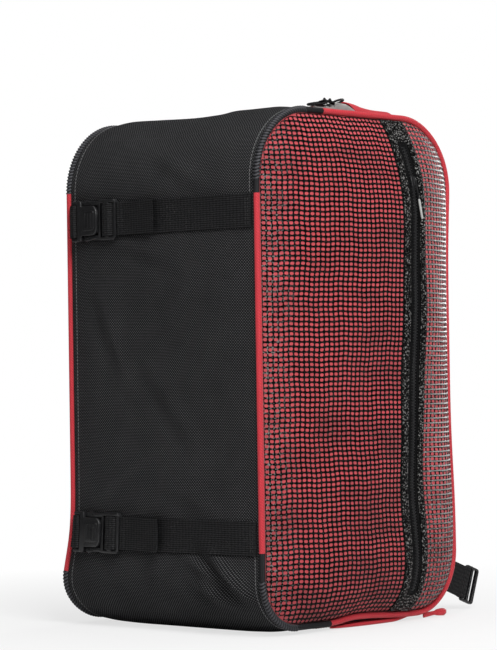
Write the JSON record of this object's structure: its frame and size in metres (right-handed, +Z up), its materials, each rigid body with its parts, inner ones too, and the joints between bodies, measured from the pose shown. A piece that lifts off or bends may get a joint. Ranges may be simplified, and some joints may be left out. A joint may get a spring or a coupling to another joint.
{
  "type": "dive duffel bag",
  "caption": "Upright soft gear bag with a netted red front, corded seams, side cinch straps with buckles, a wrap-round main zip and a front pocket zip.",
  "frame": {"origin": "on the floor under the middle of the flat base", "axes": "+Z up along the bag's height, -Y out of the netted front, +X to the right of the front"},
  "size_m": [0.4492, 0.3567, 0.6049],
  "materials": {
    "red_cloth": "woven cloth under a black coated net",
    "red_trim": "woven tape, satin",
    "black_cloth": "coarse coated weave",
    "black_trim": "ribbed binding",
    "webbing": "ribbed webbing",
    "plastic": "moulded, fine grain",
    "zip_coil": "grey zip coil",
    "pale_pull": "pale moulded pull"
  },
  "bodies": {
    "root": {"front_panel": "red_cloth", "back_panel": "black_cloth", "side_panel_left": "black_cloth", "side_panel_right": "black_cloth", "top_panel": "black_cloth", "bottom_panel": "black_cloth", "piping_front_red_left": "red_trim", "piping_front_red_right": "red_trim", "piping_front_corner_top": "black_trim", "piping_front_corner_bottom": "black_trim", "piping_back_left": "red_trim", "piping_back_top": "red_trim", "piping_back_right": "red_trim", "piping_back_bottom": "red_trim", "piping_back_corner_left_top": "black_trim", "piping_back_corner_top_right": "black_trim", "piping_back_corner_right_bottom": "black_trim", "piping_back_corner_bottom_left": "black_trim", "main_zip_tape": "red_trim", "main_zip_coil": "zip_coil", "main_zip_hood": "red_trim", "main_zip_slider_1": "plastic", "main_zip_slider_2": "plastic", "main_zip_pull_1": "webbing", "main_zip_pull_2": "webbing", "zip_end_tab": "red_trim", "pocket_zip_tape": "black_trim", "pocket_binding_left": "black_trim", "pocket_binding_right": "black_trim", "pocket_zip_slider": "plastic", "pocket_zip_pull": "pale_pull", "side_strap_upper": "webbing", "side_strap_lower": "webbing", "strap_tail_upper": "webbing", "strap_tail_lower": "webbing", "strap_anchor_upper": "webbing", "strap_anchor_lower": "webbing", "buckle_plug_upper": "plastic", "buckle_plug_lower": "plastic", "buckle_socket_upper": "plastic", "buckle_socket_lower": "plastic", "corner_tab": "webbing", "corner_lock": "plastic"}
  },
  "joints": []
}
